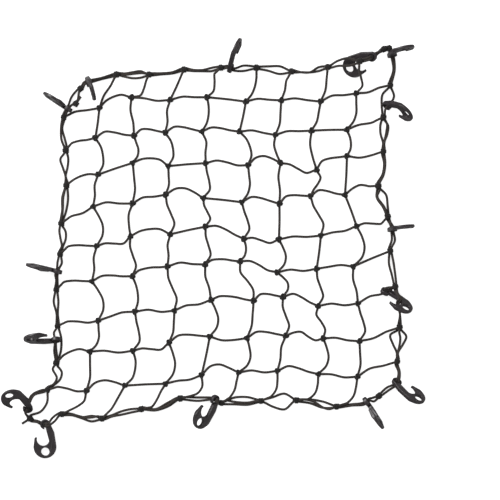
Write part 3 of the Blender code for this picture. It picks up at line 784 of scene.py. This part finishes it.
def eye_places(hook, run, offset, on_net=False):
    """Places of a cord through a hook's eye or mouth, in the order of the run."""
    far, to_mouth, out = hook_axes(hook)
    middle = hook_middle(hook)
    kind = HOOKS[hook][6]
    if kind == "hooked" and not on_net:
        middle += far * IN_MOUTH[0] + to_mouth * IN_MOUTH[1]
    if kind in ("thru", "hooked"):
        ahead = Vector((far.x, far.y, 0.0)).normalized()
        side = (ahead - out * ahead.dot(out)).normalized()
        way = out if out.dot(run) > 0 else -out
        outward = side if side.dot(left_of(run)) > 0 else -side
        return [middle + way * d + outward * offset for d in (-EYE_RUN, EYE_RUN)]
    along = to_mouth if kind == "snake" else far
    way = along if along.dot(run) > 0 else -along
    up = out if out.z > 0 else -out
    side = way.cross(up)
    outward = side if side.dot(left_of(run)) > 0 else -side
    return [middle + way * t + up * n + outward * offset for t, n in SNAKE]


def hump(height, share):
    """What a raised knot adds to the height of a cord, this share of the way from it."""
    return height * (1 - share**2)


def net_line(start, end, bows, start_edge=None, end_edge=None):
    """Places of one net cord from knot to knot, with its bow."""
    run = end - start
    side = left_of(run)
    shares = [(i + 1) / (len(bows) + 1) for i in range(len(bows))]
    line = [start + run * t + side * bow for t, bow in zip(shares, bows)]
    for place, t in zip(line, shares):
        place.z = FLOOR_LINE + hump(start.z, t) + hump(end.z, 1 - t)
        for edge in (start_edge, end_edge):
            if edge and edge not in LOW_REACH:
                place.z = max(place.z, height_by_edge(edge, place))
    if end_edge in EYE_ON_NET:
        line = line[:-1] + eye_places(EYE_ON_NET[end_edge], run, PULLED, True)
    first = net_end(start, line[0], start_edge)
    last = net_end(end, line[-1], end_edge)
    return first + line + last[::-1]


def net_end(knot, toward, edge):
    """The last places of a net cord, in a knot of the net or of the edge."""
    way = toward - knot
    way.z = 0.0
    way.normalize()
    if edge is None:
        out, up = LEAVES_KNOT
        return [knot + flat(0, 0, FLOOR_LINE + MEETS_KNOT), knot + way * out + flat(0, 0, FLOOR_LINE + up)]
    if edge in LOW_REACH:
        return [knot + flat(0, 0, FLOOR_LINE), knot + way * LOW_RUN + flat(0, 0, FLOOR_LINE)]
    inside = knot + flat(0, 0, MEETS_EDGE)
    top = knot + flat(0, 0, OVER_EDGE)
    if edge in EYE_ON_NET:
        return [inside, top + way * OVER_IN_EYE]
    return [inside, top + way * OVER_KNOT[0], top + way * OVER_KNOT[1] - flat(0, 0, OVER_DROP)]


def net_lines():
    """Every cord of the net: the rows, then the columns."""
    lines = []
    for row in range(1, ROWS + 1):
        knots = [net_knot(row, i) for i in range(1, COLUMNS + 1)]
        lines += chain(knots, ROW_BOWS[row - 1], (f"L{row}", f"R{row}"))
    for column in range(1, COLUMNS + 1):
        knots = [net_knot(i, column) for i in range(1, ROWS + 1)]
        lines += chain(knots, COLUMN_BOWS[column - 1], (f"T{column}", f"B{column}"))
    return lines


def chain(knots, letters, names):
    """The cords of a row or a column, from its first edge knot to its last."""
    stops = [edge_knot(names[0])] + knots + [edge_knot(names[1])]
    lines = []
    for i, letter in enumerate(letters):
        start_edge = names[0] if i == 0 else None
        end_edge = names[1] if i == len(letters) - 1 else None
        lines.append(net_line(stops[i], stops[i + 1], BOWS[letter], start_edge, end_edge))
    return lines


NET_LINES = [smooth_line(line) for line in net_lines()]
net_length = sum(map(line_length, NET_LINES)) / 1000
print(len(NET_LINES), "cords in the net,", round(net_length, 2), "m in all")

# %% Lines of the edge's cords
IN_KNOT = 1.5  # how far past a knot's middle an edge cord starts
OUT_OF_KNOT = 3.5  # how far from the middle it leaves the knot
CLOSER = 0.8  # share of their spacing that the two cords keep inside it
KNOT_RISE = 0.2  # how far a knot lifts a cord
SPARE_ON_TOP = (0.02, 0.15)  # shares of a span where a spare length lies over a knot
SPARE_PLACES = (0.33, 0.67, 0.84)  # shares of a span where it bows
HALFWAY_DROP = 0.2  # how far the place halfway to a hook lies below the lower end


def halfway(a, b, bow, knot_end, eye_end, flat_eye):
    """The place halfway from a knot to a hook, on the ground if there is room to come down."""
    run = (knot_end.xy - eye_end.xy).length
    if run < SHORT_RUN[0]:
        return []
    place = (a + b) / 2 + left_of(b - a) * bow
    place.z = knot_end.z / 4 + eye_end.z * 3 / 4 if flat_eye else (knot_end.z + eye_end.z) / 2
    if run > SHORT_RUN[1] and not flat_eye:
        place.z = max(FLOOR_LINE, min(knot_end.z, eye_end.z) - HALFWAY_DROP)
    return [place]


def drawn_together(outer, inner):
    """Bow and lift of a span's two cords, where one leans or lies on the other if they touch."""
    places = []
    for out_bow, in_bow in zip(outer, inner):
        if out_bow == in_bow:
            places.append(((out_bow, CORD), (in_bow, 0.0)))
        elif out_bow - in_bow < NEARLY:
            middle = (out_bow + in_bow) / 2
            places.append(((middle + LEANING, LIFTED), (middle - LEANING, 0.0)))
        else:
            places.append(((out_bow, 0.0), (in_bow, 0.0)))
    return zip(*places)


def knot_ends(name, side_offset, ahead):
    """Where an edge cord starts in a knot and where it leaves it, ahead (1) or behind (-1)."""
    way = edge_direction(name) * ahead
    side = left_of(edge_direction(name)) * side_offset
    rise = flat(0, 0, FLOOR_LINE + KNOT_RISE)
    knot = edge_knot(name)
    return knot - way * IN_KNOT + side * CLOSER + rise, knot + way * OUT_OF_KNOT + side + rise


def edge_line(start, end, side_offset, bows, hook=None):
    """Places of one edge cord from knot to knot, through a hook's eye if it has one."""
    a = edge_knot(start)
    b = edge_knot(end)
    first, first_out = knot_ends(start, side_offset, 1)
    last, last_in = knot_ends(end, side_offset, -1)
    if hook:
        eye = eye_places(hook, b - a, math.copysign(PAIR_IN_EYE, side_offset))
        centre = eye_places(hook, b - a, 0.0)
        middle = (centre[0] + centre[-1]) / 2
        flat_eye = HOOKS[hook][6] != "thru"
        before = halfway(a, middle, bows[0][0], first_out, eye[0], flat_eye)
        after = halfway(middle, b, bows[1][0], last_in, eye[-1], flat_eye)
        for places, (_, lift) in zip((before, after), bows):
            for place in places:
                place.z += lift
        return [first, first_out] + before + eye + after + [last_in, last]
    run = b - a
    side = left_of(run)
    line = [first, first_out]
    for i, (bow, lift) in enumerate(bows):
        t = (i + 1) / (len(bows) + 1)
        line.append(a + run * t + side * bow)
        line[-1].z = FLOOR_LINE + lift + hump(a.z, t) + hump(b.z, 1 - t)
    return line + [last_in, last]


def strand_line(start, end, lift, places):
    """A strand that lies beside the edge's cords, from a knot to a knot or a hook."""
    rise = flat(0, 0, FLOOR_LINE + KNOT_RISE)
    first = edge_knot(start) + rise
    last = hook_middle(end) if end in HOOKS else edge_knot(end) + rise
    line = [first]
    for i, (right, up) in enumerate(places):
        climbed = (last.z - first.z) * (i + 1) / (len(places) + 1)
        line.append(flat(right, up, first.z + lift + climbed))
    return line + [last]


def spare_line(start, end, bows):
    """A spare length that lies between the edge's two cords."""
    a = edge_knot(start)
    b = edge_knot(end)
    run = b - a
    side = left_of(run)
    over = flat(0, 0, FLOOR_LINE + CORD + 0.3)
    line = [a + run * t + side * bow + flat(0, 0, FLOOR_LINE) for t, bow in zip(SPARE_PLACES, bows)]
    return [a + run * t + over for t in SPARE_ON_TOP] + line


def edge_lines():
    """Every cord of the edge, with its spare lengths and tails."""
    lines = []
    for start, end, outer, inner, hook in EDGE_SPANS:
        outer, inner = drawn_together(outer, inner)
        lines.append(edge_line(start, end, PAIR, outer, hook))
        lines.append(edge_line(start, end, -PAIR, inner, None if hook in OUTER_ONLY else hook))
    for start, end, bows in SPARE_CORDS:
        lines.append(spare_line(start, end, bows))
    for start, end, lift, places in STRANDS:
        lines.append(strand_line(start, end, lift, places))
    for knot, right, up in TAILS:
        way = flat(right, up)
        start = edge_knot(knot) + flat(0, 0, FLOOR_LINE + KNOT_RISE)
        lines.append([start, start + way * 0.5, start + way])
    return lines


EDGE_LINES = [smooth_line(line) for line in edge_lines()]
edge_length = sum(map(line_length, EDGE_LINES)) / 1000
print(len(EDGE_LINES), "lines in the edge,", round(edge_length, 2), "m in all")

# %% [markdown]
# ## Cords and knots by Geometry Nodes
#
# A cord is a circle that follows a line, and a knot is a short line wound
# round itself with the same cover. One tree does both: it sweeps every line of
# the guide, places one copy of the knot's own line at each knot, sweeps those
# too, and stores how far along the cord and on which side of it each point is,
# for the woven finish. A small random swell with a fixed seed keeps the knots
# from looking cast in one mould.

# %% The tree that covers a line
def store_value(tree, name, kind, lines, value):
    """Stores a value at every point under a name."""
    store = add_node(tree, "GeometryNodeStoreNamedAttribute", data_type=kind, domain="POINT")
    store.inputs["Name"].default_value = name
    tree.links.new(lines, store.inputs["Geometry"])
    tree.links.new(value, store.inputs["Value"])
    return store.outputs["Geometry"]


def covered_line_group():
    """Sweeps a circle along lines and stores the values that the finish reads."""
    tree, start, end = new_group(
        "covered line",
        "GeometryNodeTree",
        (
            ("Lines", "NodeSocketGeometry", None),
            ("Radius", "NodeSocketFloat", 0.0018),
            ("Sides", "NodeSocketInt", 10),
            ("Knot shade mask", "NodeSocketFloat", 0.0),
        ),
        (("Cord", "NodeSocketGeometry"),),
    )
    length = add_node(tree, "GeometryNodeSplineParameter").outputs["Length"]
    along = store_value(tree, "along", "FLOAT", start.outputs["Lines"], length)
    # a mask that is 1 in the knots, where the finish paints shade
    knot_shade_mask = store_value(tree, "knot_shade_mask", "FLOAT", along, start.outputs["Knot shade mask"])
    ring = add_node(tree, "GeometryNodeCurvePrimitiveCircle", mode="RADIUS")
    feed(tree, start, ring, [("Radius", "Radius"), ("Sides", "Resolution")])
    place = add_node(tree, "GeometryNodeInputPosition").outputs["Position"]
    side = store_value(tree, "side", "FLOAT_VECTOR", ring.outputs["Curve"], place)
    sweep = add_node(tree, "GeometryNodeCurveToMesh")
    sweep.inputs["Fill Caps"].default_value = True
    tree.links.new(knot_shade_mask, sweep.inputs["Curve"])
    tree.links.new(side, sweep.inputs["Profile Curve"])
    smooth = add_node(tree, "GeometryNodeSetShadeSmooth")
    feed(tree, sweep, smooth, [("Mesh", "Geometry")])
    feed(tree, smooth, end, [("Geometry", "Cord")])
    return tree


COVERED_LINE = covered_line_group()
print("tree:", COVERED_LINE.name)

# %% The tree of a knotted net
def knotted_group():
    """Covers the guide's lines and a copy of the knot's line at each knot."""
    tree, start, end = new_group(
        "knotted cords",
        "GeometryNodeTree",
        (
            ("Lines", "NodeSocketGeometry", None),
            ("Knot places", "NodeSocketObject", None),
            ("Knot line", "NodeSocketObject", None),
            ("Cord radius", "NodeSocketFloat", 0.0018),
            ("Knot cord radius", "NodeSocketFloat", 0.0016),
            ("Sides", "NodeSocketInt", 10),
            ("Knot sides", "NodeSocketInt", 8),
            ("Swell", "NodeSocketFloat", 0.06),
            ("Seed", "NodeSocketInt", 5),
            ("Cover", "NodeSocketMaterial", None),
        ),
        (("Net", "NodeSocketGeometry"),),
    )
    cords = add_node(tree, "GeometryNodeGroup", node_tree=COVERED_LINE)
    feed(tree, start, cords, [("Lines", "Lines"), ("Cord radius", "Radius"), ("Sides", "Sides")])
    places = add_node(tree, "GeometryNodeObjectInfo")
    shape = add_node(tree, "GeometryNodeObjectInfo")
    feed(tree, start, places, [("Knot places", "Object")])
    feed(tree, start, shape, [("Knot line", "Object")])
    knot = add_node(tree, "GeometryNodeGroup", node_tree=COVERED_LINE)
    feed(tree, shape, knot, [("Geometry", "Lines")])
    feed(tree, start, knot, [("Knot cord radius", "Radius"), ("Knot sides", "Sides")])
    # the knots' copies carry the mask of painted shade
    knot.inputs["Knot shade mask"].default_value = 1.0
    turn = add_node(tree, "GeometryNodeInputNamedAttribute", data_type="FLOAT_VECTOR")
    turn.inputs["Name"].default_value = "turn"
    spread = add_node(tree, "FunctionNodeRandomValue", data_type="FLOAT")
    for operation, limit in (("SUBTRACT", "Min"), ("ADD", "Max")):
        size = add_math(tree, operation, 1.0, start.outputs["Swell"])
        tree.links.new(size, spread.inputs[limit])
    feed(tree, start, spread, [("Seed", "Seed")])
    copies = add_node(tree, "GeometryNodeInstanceOnPoints")
    feed(tree, places, copies, [("Geometry", "Points")])
    feed(tree, knot, copies, [("Cord", "Instance")])
    feed(tree, turn, copies, [("Attribute", "Rotation")])
    feed(tree, spread, copies, [("Value", "Scale")])
    both = add_node(tree, "GeometryNodeJoinGeometry")
    feed(tree, cords, both, [("Cord", "Geometry")])
    feed(tree, copies, both, [("Instances", "Geometry")])
    real = add_node(tree, "GeometryNodeRealizeInstances")
    feed(tree, both, real, [("Geometry", "Geometry")])
    finish = add_node(tree, "GeometryNodeSetMaterial")
    feed(tree, real, finish, [("Geometry", "Geometry")])
    feed(tree, start, finish, [("Cover", "Material")])
    feed(tree, finish, end, [("Geometry", "Net")])
    return tree


KNOTTED_CORDS = knotted_group()
print("tree:", KNOTTED_CORDS.name)

# %% [markdown]
# ## The lines of the two kinds of knot
#
# A net knot is tight and nearly round: its cord loops three times through its
# own middle, which is the shape of a closed overhand knot. An edge knot takes
# in both cords of the edge and the net cord, so it is longer: its cord winds
# round them in a short coil whose ends tuck in.

# %% Knot lines and knot places
TUCKED = 6  # one part in this many of a coil tucks in at each end
COIL_SHARE = 0.9  # share of its reach that a coil's turns are spread over
COIL_LEAN = 0.8  # how far each turn leans along x


def looped_knot_line(reach, rise, steps):
    """A closed overhand knot that reaches this far from its middle."""
    unit = reach / 3.0
    line = []
    for i in range(steps):
        t = 2 * math.pi * i / steps
        x = math.sin(t) + 2 * math.sin(2 * t)
        y = math.cos(t) - 2 * math.cos(2 * t)
        line.append(flat(x * unit, y * unit, -math.sin(3 * t) * rise))
    return line


def coiled_knot_line(reach, half_width, rise, turns, steps):
    """A short coil along x whose ends tuck into its middle."""
    line = []
    for i in range(steps + 1):
        share = i / steps
        t = 2 * math.pi * turns * share
        tuck = min(1.0, TUCKED * share, TUCKED * (1 - share)) ** 0.5
        x = reach * (2 * share - 1) * COIL_SHARE + COIL_LEAN * math.sin(t)
        line.append(flat(x, half_width * math.cos(t) * tuck, rise * math.sin(t) * tuck))
    return line


def guide_curve(name, lines, closed=False):
    """A curve object of straight-sided splines along lines of points."""
    curve = bpy.data.curves.new(name, "CURVE")
    curve.dimensions = "3D"
    for line in lines:
        spline = curve.splines.new("POLY")
        spline.points.add(len(line) - 1)
        spline.use_cyclic_u = closed
        for point, place in zip(spline.points, line):
            point.co = (*(place * MM), 1.0)
    return put_in_scene(name, curve)


def knot_points(name, places):
    """A mesh of one point a knot, each with its turn."""
    mesh = bpy.data.meshes.new(name)
    mesh.from_pydata([place * MM for place, _ in places], [], [])
    turns = mesh.attributes.new("turn", "FLOAT_VECTOR", "POINT")
    for item, (_, turn) in zip(turns.data, places):
        item.vector = turn
    return put_in_scene(name, mesh)


NET_KNOT_LINE = looped_knot_line(reach=3.9, rise=1.5, steps=36)
EDGE_KNOT_LINE = coiled_knot_line(reach=4.4, half_width=3.5, rise=2.2, turns=3.25, steps=44)
lengths = [round(line_length(line), 1) for line in (NET_KNOT_LINE, EDGE_KNOT_LINE)]
print("net knot:", lengths[0], "mm of cord; edge knot:", lengths[1], "mm")

# %% A piece from its guide
def knotted_piece(name, lines, knots, knot_line, closed, radii, cover):
    """Runs the tree over the guides and keeps the result as a plain mesh."""
    cord_radius, knot_radius = radii
    guides = [
        guide_curve(name + " lines", lines),
        knot_points(name + " knots", knots),
        guide_curve(name + " knot line", [knot_line], closed),
    ]
    values = {
        "Knot places": guides[1],
        "Knot line": guides[2],
        "Cord radius": cord_radius * MM,
        "Knot cord radius": knot_radius * MM,
        "Sides": 10,
        "Knot sides": 8,
        "Swell": 0.06,
        "Seed": 5,
        "Cover": cover,
    }
    modifier = guides[0].modifiers.new("knotted cords", "NODES")
    modifier.node_group = KNOTTED_CORDS
    for item in KNOTTED_CORDS.interface.items_tree:
        if item.in_out == "INPUT" and item.name in values:
            modifier[item.identifier] = values[item.name]
    graph = bpy.context.evaluated_depsgraph_get()
    mesh = bpy.data.meshes.new_from_object(guides[0].evaluated_get(graph), depsgraph=graph)
    guides[0].modifiers.remove(modifier)
    for guide in guides:
        bpy.data.objects.remove(guide)
    mesh.name = name
    mesh.transform(Matrix.Translation(flat(*TO_MIDDLE) * MM))
    if not mesh.materials:
        mesh.materials.append(cover)
    mesh.calc_loop_triangles()
    print(name, "has", len(mesh.loop_triangles), "triangles")
    return put_in_scene(name, mesh)


# %% The net
NET_KNOT_HEIGHT = 3.7  # height of the middle of a net knot
NET_KNOT_CORD = 1.9  # radius of the cord in it


def net_knots():
    """Every net knot, turned and tilted by waves that never fall into step."""
    knots = []
    for row in range(1, ROWS + 1):
        for column in range(1, COLUMNS + 1):
            turn = math.radians(30 + 60 * math.sin(1.7 * row + 2.3 * column))
            tilt = math.radians(6 * math.sin(3.1 * row + 1.3 * column))
            knots.append((net_knot(row, column) + flat(0, 0, NET_KNOT_HEIGHT), (tilt, 0.0, turn)))
    return knots


net = knotted_piece(
    "net",
    NET_LINES,
    net_knots(),
    NET_KNOT_LINE,
    closed=True,
    radii=(CORD / 2, NET_KNOT_CORD),
    cover=NET_COVER,
)

# %% The doubled edge cord
KNOT_HEIGHT = 4.4  # height of the middle of an edge knot
KNOT_CORD = 1.85  # radius of the cord in it


def turn_in_eye(name, way):
    """The turn of a knot that fills a flat eye, with its length along the cords."""
    far, to_mouth, out = hook_axes(name)
    along = to_mouth if way == "snake" else far
    return Matrix((along, out.cross(along), out)).transposed().to_euler()


def edge_knots():
    """Every edge knot, turned along the edge."""
    knots = []
    for name in EDGE_KNOTS:
        along = edge_direction(name)
        turn = math.atan2(along.y, along.x)
        knots.append((edge_knot(name) + flat(0, 0, KNOT_HEIGHT), (0.0, 0.0, turn)))
    turn = math.atan2(TAILS[0][2], TAILS[0][1])
    knots.append((edge_knot("tied") + flat(0, 0, KNOT_HEIGHT), (0.0, 0.0, turn)))
    for name, (*_, way) in HOOKS.items():
        if way != "thru":
            knots.append((hook_middle(name), turn_in_eye(name, way)))
    return knots


edge = knotted_piece(
    "edge",
    EDGE_LINES,
    edge_knots(),
    EDGE_KNOT_LINE,
    closed=False,
    radii=(CORD / 2, KNOT_CORD),
    cover=EDGE_COVER,
)

# %% [markdown]
# ## The hooks
#
# Every hook comes from one mould: a flat plate, cut to a round bowl with a
# hole, a wide mouth, a narrow shank and an eye that is curled almost shut so
# the cord can be pushed in but not pulled out. The outline is a table of arcs.
# A filled flat curve with a small bevel gives the plate its rounded rim. The
# plate is then thinned towards the bowl's end and the point, as on a moulded
# hook, and the mesh is set where the hook lies.

# %% One moulded hook
RIM = 1.1  # radius of the rounded rim
FINER = 4  # steps of an arc here for each step of the solid's
THIN_RIM = 0.62  # how much of the bowl's roundness shows in its thickness
POINT = (21.0, 13.5)  # the hook's point, which is half as thick as the shank
POINT_REACH = 14.0  # how far from the point the plate is thinned
THINS_OVER = 6.0  # length over which the bowl starts to thin
WELD = 0.00001  # points closer than this, in metres, are joined
LEVEL = 0.999  # a face whose normal is this upright stays flat


def thickness_share(x, y):
    """Share of the full thickness at a place, less at the bowl's end and at the point."""
    _, bowl_x, bowl_y, radius, *_ = HOOK_OUTLINE[2]
    past = max(0.0, x - bowl_x)
    dome = math.sqrt(1.0 - THIN_RIM * min(1.0, math.hypot(past, y - bowl_y) / radius) ** 2)
    point = min(1.0, 0.5 + 0.5 * math.hypot(x - POINT[0], y - POINT[1]) / POINT_REACH)
    return (1.0 + (dome - 1.0) * min(1.0, past / THINS_OVER)) * point


def fine_loop(rows):
    """The points of a loop of arcs, with more steps than the solid has."""
    return [point for _, *place, steps in rows for point in arc(*place, steps * FINER)]


def moulded_hook():
    """The hook's plate with a rounded rim, flat on the middle of its eye."""
    curve = bpy.data.curves.new("hook outline", "CURVE")
    curve.dimensions = "2D"
    curve.fill_mode = "BOTH"
    curve.extrude = (HOOK_THICKNESS / 2 - RIM) * MM
    curve.bevel_depth = RIM * MM
    curve.bevel_resolution = 3
    curve.offset = -RIM * MM
    for loop in (fine_loop(HOOK_OUTLINE), fine_loop((HOOK_HOLE,))):
        spline = curve.splines.new("POLY")
        spline.points.add(len(loop) - 1)
        spline.use_cyclic_u = True
        for point, (x, y) in zip(spline.points, loop):
            point.co = (x * MM, y * MM, 0.0, 1.0)
    guide = put_in_scene("hook outline", curve)
    graph = bpy.context.evaluated_depsgraph_get()
    mesh = bpy.data.meshes.new_from_object(guide.evaluated_get(graph))
    bpy.data.objects.remove(guide)
    work = bmesh.new()
    work.from_mesh(mesh)
    bmesh.ops.remove_doubles(work, verts=work.verts, dist=WELD)
    bmesh.ops.recalc_face_normals(work, faces=work.faces)
    for face in work.faces:
        face.smooth = abs(face.normal.z) < LEVEL
    for vert in work.verts:
        vert.co.z *= thickness_share(vert.co.x / MM, vert.co.y / MM)
    work.to_mesh(mesh)
    work.free()
    return mesh


HOOK = moulded_hook()
print("one hook:", len(HOOK.vertices), "points")

# %% Every hook in its place
def placed_hook(name):
    """A copy of the hook, set where it lies."""
    far, to_mouth, out = hook_axes(name)
    turn = Matrix((far, to_mouth, out)).transposed().to_4x4()
    mesh = HOOK.copy()
    mesh.name = "plastic hook " + name
    mesh.transform(Matrix.Translation((hook_middle(name) + flat(*TO_MIDDLE)) * MM) @ turn)
    mesh.materials.clear()
    mesh.materials.append(HOOK_PLASTIC)
    return put_in_scene("plastic_hook_" + name, mesh)


hooks = {name: placed_hook(name) for name in HOOKS}
print("hooks placed:", len(hooks))

# %% [markdown]
# ## Telling the frame
#
# Each piece rides on the frame's one body and stands for its own solid, which is hidden.

# %% Pieces on the frame's body
for piece, node, slot_name in [(net, "mesh_net", "net_cord"), (edge, "border_cord", "edge_cord")] + [
    (hooks[name], "hook_" + name, "hook_plastic") for name in HOOKS
]:
    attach(piece, "root")
    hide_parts(node)
